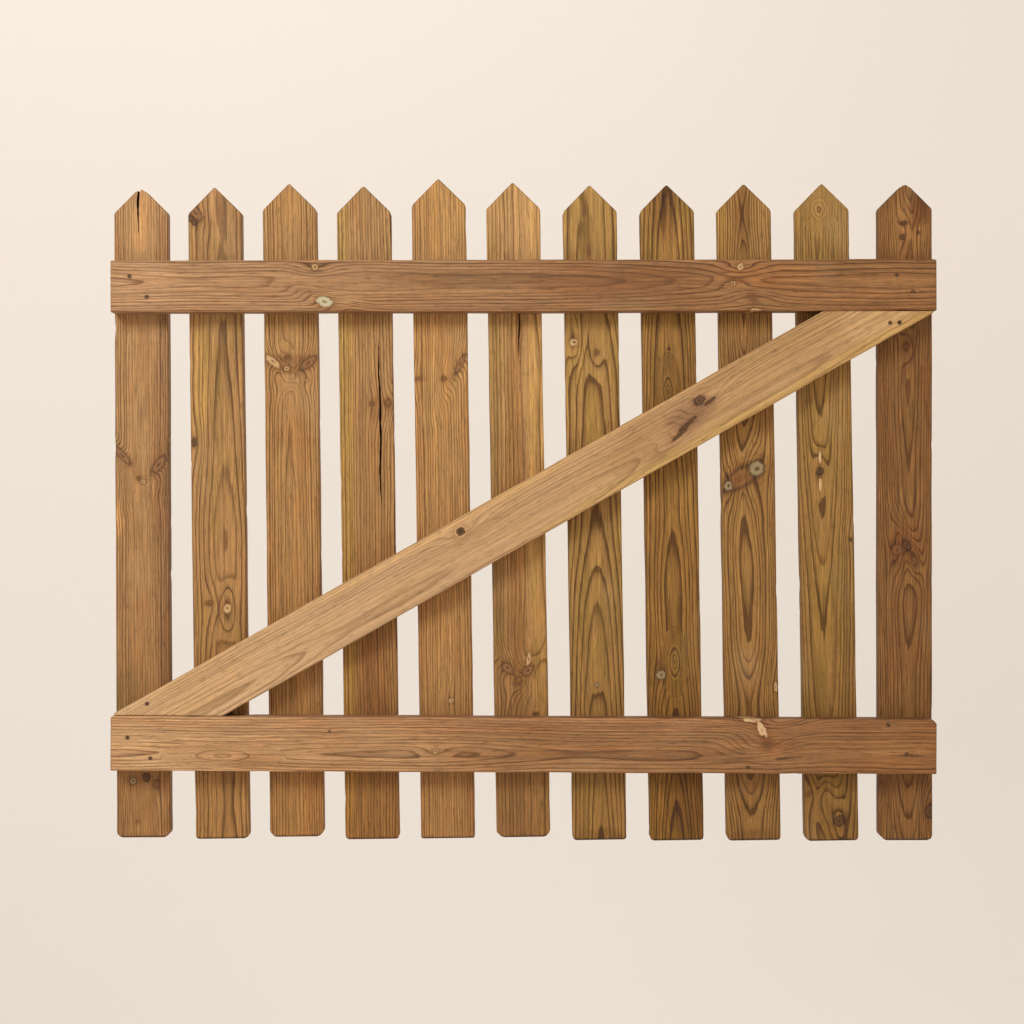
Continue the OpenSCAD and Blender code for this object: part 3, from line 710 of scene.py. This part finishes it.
LOOKS = {
    "picket_01": dict(
        seed=1, rough=1.15, low=(144, 103, 59), high=(171, 130, 84), tint=RUSSET, wave=3, ripple=0.6,
        ring=3.3, pith=(-70, 12, 0.0, 4, 180), contrast=0.55, middle=0.3, tip=5,
        knots=[
            (0.04, 0.548, 3, 3, "pin", 0.5, 5, 0), (-0.14, 0.553, 3, 3, "red", 0.4, 4, 0),
            (0.62, 0.574, 5, 13, "leaf", 0.6, 9, 38), (-0.72, 0.588, 4, 15, "leaf", 0.6, 8, -42),
            (-0.37, 0.087, 4.5, 4.5, "grey", 0.5, 4, 0), (0.14, 0.093, 4.5, 5, "dark", 0.6, 6, 0),
            (0.52, 0.082, 4, 5, "red", 0.5, 5, 0), (-0.22, 0.024, 2, 2.5, "soft", 0.3, 1, 0),
        ],
        patches=[
            (-0.6, 0.2, 20, 60, (0.84, 0.88, 0.82)), (0.8, 0.5, 14, 330, (0.82, 0.78, 0.78)),
            (-0.9, 0.49, 5, 26, (1.5, 1.45, 1.3)), (0.0, 0.94, 12, 40, PALE),
        ],
        splits=[(-0.085, 0.928, 1.01, 3.6, 12)],
    ),
    "picket_02": dict(
        seed=2, low=(156, 112, 62), high=(168, 124, 77), tint=OLIVE, wave=3, ripple=0.7, ring=3.4,
        pith=(8, 26, 0.02, 5, 230), contrast=0.55,
        knots=[
            (-0.74, 0.962, 6, 12, "leaf", 0.12, 1, -36), (-0.86, 0.95, 3, 7, "dark", 0.1, 0, -36),
            (-0.86, 0.61, 2.5, 6, "dark", 0.4, 3, 0), (-0.4, 0.362, 4, 3, "red", 0.5, 4, 0),
            (0.28, 0.354, 5, 6, "pale", 0.7, 9, 0),
        ],
        patches=[(-0.6, 0.72, 12, 90, (1.16, 1.24, 1.0)), (0.0, 0.66, 9, 60, (0.8, 0.84, 0.72))],
        splits=[],
    ),
    "picket_03": dict(
        seed=3, low=(156, 110, 59), high=(168, 127, 77), tint=RUSSET, wave=1.5, ripple=0.5, ring=2.6,
        pith=(-3, 15, 0.008, 2, 300), contrast=0.6, middle=0.5,
        knots=[
            (-0.7, 0.728, 4.5, 12, "pale", 0.4, 5, -52), (-0.17, 0.717, 3.5, 3.5, "pin", 0.4, 3, 0),
            (-0.17, 0.734, 3, 2.5, "red", 0.3, 2, 0), (0.63, 0.726, 5, 12, "leaf", 0.4, 5, 50),
            (0.56, 0.7, 2, 2, "pin", 0.3, 2, 0),
        ],
        patches=[(0.0, 0.725, 34, 14, (0.74, 0.66, 0.58))],
        splits=[],
    ),
    "picket_04": dict(
        seed=4, low=(141, 96, 47), high=(172, 131, 82), tint=RUSSET, wave=2, ripple=0.5, ring=3.5,
        pith=(60, 16, 0.0, 5, 260), contrast=0.6,
        knots=[(0.2, 0.668, 3, 3, "red", 0.5, 5, 0), (0.79, 0.668, 3.5, 4.5, "red", 0.5, 5, 20)],
        patches=[
            (-0.82, 0.5, 12, 520, (1.06, 1.14, 0.86)), (0.1, 0.25, 20, 130, (0.84, 0.76, 0.7)),
            (0.5, 0.66, 16, 20, (0.84, 0.76, 0.68)),
        ],
        splits=[(0.49, 0.512, 0.765, 2.9, 12)],
    ),
    "picket_05": dict(
        seed=5, low=(158, 113, 64), high=(184, 139, 83), tint=RUSSET, wave=2, ripple=0.4, ring=3.3,
        pith=(-95, 10, 0.0, 4, 300), contrast=0.6, middle=0.6,
        knots=[
            (0.72, 0.719, 3.5, 13, "leaf", 0.6, 7, 28), (0.1, 0.697, 3, 3, "red", 0.5, 4, 0),
            (-0.85, 0.698, 6, 2.5, "soft", 0.4, 3, 0), (0.17, 0.208, 3, 3, "pin", 0.5, 4, 0),
        ],
        patches=[],
        splits=[],
    ),
    "picket_06": dict(
        seed=6, low=(137, 95, 51), high=(187, 142, 89), tint=OLIVE, wave=3, ripple=0.5, ring=4.1,
        pith=(18, 14, 0.012, 5, 210), contrast=0.5,
        knots=[
            (-0.48, 0.258, 5, 9, "leaf", 0.6, 8, -40), (0.26, 0.254, 5, 8, "leaf", 0.6, 8, 40),
            (-0.1, 0.235, 5, 3, "soft", 0.4, 4, 0), (0.3, 0.272, 2.5, 9, "pale", 0.3, 2, 10),
        ],
        patches=[
            (0.0, 0.42, 33, 60, (1.12, 1.13, 1.17)), (0.15, 0.78, 4, 50, (0.7, 0.6, 0.5)),
            (-0.1, 0.5, 12, 300, (0.86, 0.78, 0.68)), (0.75, 0.5, 12, 420, (1.14, 1.16, 1.0)),
            (-0.8, 0.6, 8, 300, (0.82, 0.84, 0.7)),
        ],
        splits=[(0.15, 0.735, 0.83, 2.6, 10)],
    ),
    "picket_07": dict(
        seed=7, low=(144, 104, 51), high=(167, 127, 70), tint=OLIVE, wave=3, ripple=0.7, ring=4.4,
        pith=(1, 9, 0.05, 6, 260), contrast=0.75,
        knots=[
            (-0.65, 0.761, 5, 5, "pale", 0.8, 9, 0), (0.18, 0.745, 3, 4, "red", 0.6, 6, 0),
            (-0.22, 0.962, 3, 7, "soft", 0.3, 2, 0), (-0.06, 0.902, 3, 9, "soft", 0.3, 2, 0),
            (0.0, 0.237, 2, 2.5, "grey", 0.3, 2, 0),
        ],
        patches=[(0.0, 0.0, 40, 16, (0.8, 0.76, 0.7)), (0.0, 0.6, 12, 80, (1.08, 1.12, 0.98))],
        splits=[],
    ),
    "picket_08": dict(
        seed=8, rough=1.3, low=(131, 89, 33), high=(155, 113, 57), tint=OLIVE, wave=3, ripple=0.6,
        ring=2.7, pith=(0, 20, 0.03, 4, 230), contrast=1.0, middle=0.85,
        eyes=[(0.0, 0.272, 11, 30, 4.0), (-0.05, 0.685, 11, 34, 4.5)],
        knots=[
            (-0.05, 0.675, 4, 12, "none", 0.2, 0, 0), (-0.51, 0.253, 6, 6, "grey", 0.25, 2, 0),
            (-0.57, 0.27, 2.5, 7, "soft", 0.1, 1, -8), (0.0, 0.27, 5, 12, "none", 0.2, 0, 0),
        ],
        patches=[
            (0.0, 0.9, 33, 40, (1.2, 1.2, 1.25)), (0.0, 0.72, 33, 60, (0.88, 0.87, 0.86)),
            (-0.1, 0.97, 16, 60, SHADE), (0.4, 0.06, 30, 60, (0.74, 0.7, 0.62)),
            (-0.16, 0.96, 4, 34, (0.6, 0.55, 0.5)),
        ],
        splits=[],
    ),
    "picket_09": dict(
        seed=9, low=(138, 99, 49), high=(160, 119, 64), tint=RUSSET, wave=3, ripple=0.7, ring=2.5,
        pith=(-3, 30, -0.03, 9, 170), contrast=0.9,
        knots=[
            (-0.22, 0.553, 23, 11, "swirl", 0.1, 4, -31), (0.35, 0.567, 9, 9.5, "grey", 0.6, 6, 0),
            (-0.72, 0.541, 6, 6.5, "grey", 0.7, 7, 0), (0.92, 0.232, 2.5, 6, "pale", 0.4, 2, 0),
        ],
        patches=[
            (0.0, 0.73, 33, 60, (0.87, 0.81, 0.75)), (0.0, 0.585, 33, 50, (1.12, 1.15, 1.17)),
            (0.0, 0.0, 40, 16, (0.8, 0.76, 0.7)), (-0.05, 0.95, 9, 70, (0.66, 0.6, 0.54)),
            (-0.25, 0.555, 18, 24, (0.9, 0.8, 0.7)), (-0.85, 0.9, 9, 90, (1.2, 1.2, 1.05)),
        ],
        splits=[],
    ),
    "picket_10": dict(
        seed=10, low=(133, 94, 44), high=(162, 122, 66), tint=OLIVE, wave=3, ripple=0.9, ring=3.0,
        pith=(-6, 38, -0.042, 2.5, 260), contrast=0.85, middle=0.6,
        eyes=[(-0.11, 0.962, 15, 20, 3.2)],
        knots=[
            (-0.23, 0.584, 1.7, 8, "cream", 0, 0, 0), (-0.23, 0.542, 1.7, 9, "cream", 0, 0, 0),
            (-0.23, 0.563, 4, 4, "dark", 0.6, 5, 0), (0.87, 0.458, 2, 2.5, "dark", 0.3, 2, 0),
            (0.26, 0.03, 5.5, 6, "dark", 0.7, 8, 0), (-0.8, 0.072, 3, 3, "red", 0.4, 4, 0),
            (-0.18, 0.062, 3, 5, "none", 0.5, 9, 0),
        ],
        patches=[
            (-0.23, 0.586, 1.7, 9, (1.4, 1.36, 1.25)), (-0.23, 0.538, 1.8, 10, (1.4, 1.36, 1.25)),
            (-0.95, 0.95, 5, 20, (1.2, 1.15, 1.0)), (-0.2, 0.35, 14, 90, (1.12, 1.14, 1.0)),
        ],
        splits=[],
    ),
    "picket_11": dict(
        seed=11, rough=1.25, low=(127, 88, 45), high=(130, 90, 47), tint=RUSSET, wave=3, ripple=0.5,
        ring=2.2, pith=(4, 36, -0.03, 4, 260), contrast=1.0, tip=5, late=(0.6, 0.5, 0.44),
        knots=[
            (-0.03, 0.939, 3, 2.5, "dark", 0.4, 3, 0), (-0.12, 0.918, 2.5, 3.5, "dark", 0.4, 3, 0),
            (0.48, 0.924, 1.8, 2.2, "dark", 0.3, 2, 0), (0.06, 0.752, 3, 3.5, "red", 0.5, 4, 0),
            (-0.36, 0.442, 7, 7, "red", 0.7, 8, 0), (0.02, 0.449, 4, 7, "dark", 0.5, 5, -30),
            (0.3, 0.425, 4, 5, "red", 0.5, 5, 0), (0.88, 0.044, 5, 8, "dark", 0.6, 6, 0),
            (-0.95, 0.078, 5, 6, "soft", 0.5, 10, 0),
        ],
        patches=[
            (0.0, 0.925, 33, 40, (1.4, 1.45, 1.5)), (0.5, 0.962, 14, 26, (0.66, 0.56, 0.52)),
            (0.0, 0.45, 26, 34, (0.95, 0.84, 0.78)),
        ],
        splits=[],
    ),
    "top_ledge": dict(
        seed=21, low=(166, 126, 87), high=(137, 94, 53), tint=RUSSET, wave=1.6, corner=0.5, ripple=0.5,
        ring=3.1, pith=(5, 12, 0.014, 3.5, 240), contrast=0.5,
        knots=[
            (0.73, 0.248, 4, 4, "pin", 0.7, 5, 0), (-0.63, 0.259, 6, 11, "lichen", 0.8, 6, -20),
            (0.15, 0.249, 5, 16, "none", 0.4, 3, 0), (0.7, 0.763, 4.5, 4, "pale", 0.7, 6, 0),
            (0.04, 0.754, 3, 3, "pin", 0.5, 4, 0), (-0.5, 0.778, 5, 5, "soft", 0.6, 6, 0),
            (-0.96, 0.781, 2, 7, "pale", 0.3, 3, 0),
        ],
        patches=[
            (0.0, 0.65, 34, 80, (0.86, 0.82, 0.76)), (0.0, 0.03, 34, 60, (1.08, 1.11, 1.16)),
            (0.0, 0.97, 34, 60, (1.1, 1.12, 1.18)), (-0.4, 0.88, 14, 70, (1.1, 1.06, 1.04)),
            (0.0, 0.07, 26, 70, (1.05, 1.04, 1.04)), (0.25, 0.43, 11, 130, (0.76, 0.74, 0.7)),
            (0.4, 0.8, 16, 70, (1.2, 1.1, 1.0)), (-0.5, 0.27, 8, 36, (1.16, 1.2, 1.12)),
            (-0.44, 0.387, 3, 12, (1.2, 1.1, 1.0)), (0.2, 0.6, 26, 120, (0.86, 0.8, 0.78)),
        ],
        splits=[],
    ),
    "bottom_ledge": dict(
        seed=27, low=(181, 140, 97), high=(135, 91, 51), tint=RUSSET, wave=2.5, corner=0.5, ripple=0.4,
        ring=3.2, pith=(-11, 10, 0.008, 5, 260), contrast=0.47,
        eyes=[(-0.41, 0.136, 11, 52, 2.4)],
        knots=[
            (-0.23, 0.394, 3, 3, "pin", 0.5, 4, 0), (0.96, 0.777, 3.5, 12, "cream", 0.5, 6, 0),
            (0.58, 0.789, 12, 4.6, "cream", 0.6, 9, 27), (0.35, 0.791, 1.5, 1.5, "dark", 0.1, 0, 0),
            (0.05, 0.795, 5, 6, "soft", 0.5, 5, 0), (-0.78, 0.771, 1.8, 1.8, "dark", 0.3, 1, 0),
            (0.48, 0.265, 1.3, 1.3, "dark", 0.2, 1, 0),
        ],
        patches=[
            (0.0, 0.5, 34, 120, (0.86, 0.82, 0.76)), (0.0, 0.05, 34, 80, (1.1, 1.12, 1.15)),
            (0.0, 0.97, 34, 60, (1.14, 1.17, 1.2)), (0.8, 0.5, 12, 480, (1.04, 0.98, 0.98)),
            (-0.2, 0.66, 12, 110, (0.86, 0.8, 0.76)), (0.1, 0.8, 22, 22, (1.08, 1.0, 0.94)),
        ],
        splits=[],
    ),
    "brace": dict(
        seed=31, low=(188, 151, 112), high=(171, 130, 84), tint=(0.98, 0.99, 0.9), wave=1.6, corner=0.5,
        ripple=0.3, ring=2.7, pith=(-16, 30, 0.012, 4, 300), contrast=0.4, rough=0.5,
        late=(0.64, 0.56, 0.48),
        knots=[
            (0.54, 0.43, 6, 6.5, "round", 0.8, 7, 0), (0.4, 0.729, 4.5, 7, "dark", 0.6, 6, 10),
            (0.2, 0.738, 1.6, 7, "dark", 0.3, 2, 10), (-0.1, 0.705, 2, 13, "dark", 0.2, 3, 12),
            (-0.3, 0.692, 2, 12, "dark", 0.2, 2, 14),
        ],
        patches=[
            (0.0, 0.95, 36, 60, (1.2, 1.26, 1.34)), (0.0, 0.665, 30, 70, (0.88, 0.84, 0.8)),
            (0.1, 0.715, 17, 40, (0.7, 0.66, 0.7)), (-0.86, 0.78, 8, 330, (1.08, 1.12, 0.94)),
            (0.9, 0.4, 5, 420, (1.12, 1.1, 1.0)), (0.3, 0.09, 30, 90, (1.0, 0.96, 0.88)),
        ],
        splits=[],
    ),
}

heads = nail_heads()
for name, look in LOOKS.items():
    board = Board(name)
    mine = []
    for point, side in heads:
        hu, hv, hw = board.local(point)
        inside = abs(hu) < board.width / 2 and 0 < hv < board.length
        face = hw < NAIL_DEPTH if side < 0 else hw > board.thick - NAIL_DEPTH
        if inside and face and 0 < hw < board.thick:
            mine.append((point, side))
    timber = make_board(board, look, mine)
    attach(timber, "root")
    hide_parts(name)

steel = nail_steel()
for name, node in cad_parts.items():
    if name.endswith("nails"):
        node.data.materials.clear()
        node.data.materials.append(steel)

# ---------------------------------------------------------------- studio


def studio_bowl():
    """A pale floor that curves up into a wall all round."""
    radius, floor, fillet, top = 6.0, -1.0, 2.5, 5.0
    bends, turn = 16, 96  # steps up the fillet and round the bowl
    profile = [(r, floor) for r in (1.0, 2.0, 3.0)]
    for i in range(bends + 1):
        a = math.pi / 2 * i / bends
        profile.append((radius - fillet + fillet * math.sin(a), floor + fillet * (1 - math.cos(a))))
    profile.append((radius, top))
    bm = bmesh.new()
    rings = []
    for r, z in profile:
        rings.append([
            bm.verts.new((r * math.cos(2 * math.pi * k / turn), r * math.sin(2 * math.pi * k / turn), z))
            for k in range(turn)
        ])
    bm.faces.new(rings[0])
    for a, b in zip(rings, rings[1:]):
        for k in range(turn):
            bm.faces.new((a[k], a[(k + 1) % turn], b[(k + 1) % turn], b[k]))
    bmesh.ops.recalc_face_normals(bm, faces=bm.faces)
    obj = new_object("studio", bm)
    for poly in obj.data.polygons:
        poly.use_smooth = True
    n = Nodes("studio_paper")
    place = n.add("TexCoord").outputs["Object"]
    cloud = n.noise(n.vector("MULTIPLY", place, (0.5, 0.5, 0.5)), 1.0)
    tone = n.mix(cloud, linear((214, 206, 197)), linear((218, 210, 202)))
    n.put(n.shader.inputs["Base Color"], tone)
    n.put(n.shader.inputs["Roughness"], 0.95)
    n.put(n.shader.inputs["Specular IOR Level"], 0.0)
    n.put(n.shader.inputs["Emission Color"], (1.0, 0.92, 0.84))
    n.put(n.shader.inputs["Emission Strength"], 0.212)
    obj.data.materials.append(n.material)


def area_light(name, place, target, size, power, color):
    light = bpy.data.lights.new(name, "AREA")
    light.shape = "SQUARE"
    light.size = size
    light.energy = power
    light.color = color
    obj = bpy.data.objects.new(name, light)
    bpy.context.scene.collection.objects.link(obj)
    obj.location = place
    obj.rotation_euler = (Vector(target) - Vector(place)).to_track_quat("-Z", "Y").to_euler()
    obj.visible_camera = False


studio_bowl()
GATE_MIDDLE = (0.0, 0.0, 0.42)
area_light("key", (-1.5, -2.4, 2.3), GATE_MIDDLE, 1.3, 70, (0.97, 1.0, 1.0))
area_light("back_fill", (1.8, 2.6, 2.4), GATE_MIDDLE, 2.0, 30, (1.0, 1.0, 1.0))
area_light("front_wash", (1.8, -2.8, 3.6), (-0.3, -6.0, 2.0), 3.0, 60, (0.97, 1.0, 1.01))
area_light("wall_wash", (-1.2, 2.4, 3.8), (0.2, 6.0, 2.1), 3.0, 90, (0.97, 1.0, 1.01))
world = bpy.data.worlds.new("studio_air")
bpy.context.scene.world = world
world.use_nodes = True
world.node_tree.nodes["Background"].inputs["Color"].default_value = (1.0, 1.0, 1.0, 1)
world.node_tree.nodes["Background"].inputs["Strength"].default_value = 0.22

EYE_X, EYE_Z = -0.014, 0.403  # the camera stands a little left of the middle, at half height
EYE_DISTANCE = 2.4  # from the pickets' faces
view = bpy.data.cameras.new("view")
view.sensor_width = 36.0
view.lens = 68.9
camera = bpy.data.objects.new("view", view)
bpy.context.scene.collection.objects.link(camera)
face_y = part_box("picket_06")[0].y
camera.location = (EYE_X, face_y - EYE_DISTANCE, EYE_Z)
camera.rotation_euler = (math.radians(90), 0, 0)
bpy.context.scene.camera = camera
bpy.context.scene.view_settings.view_transform = "Standard"
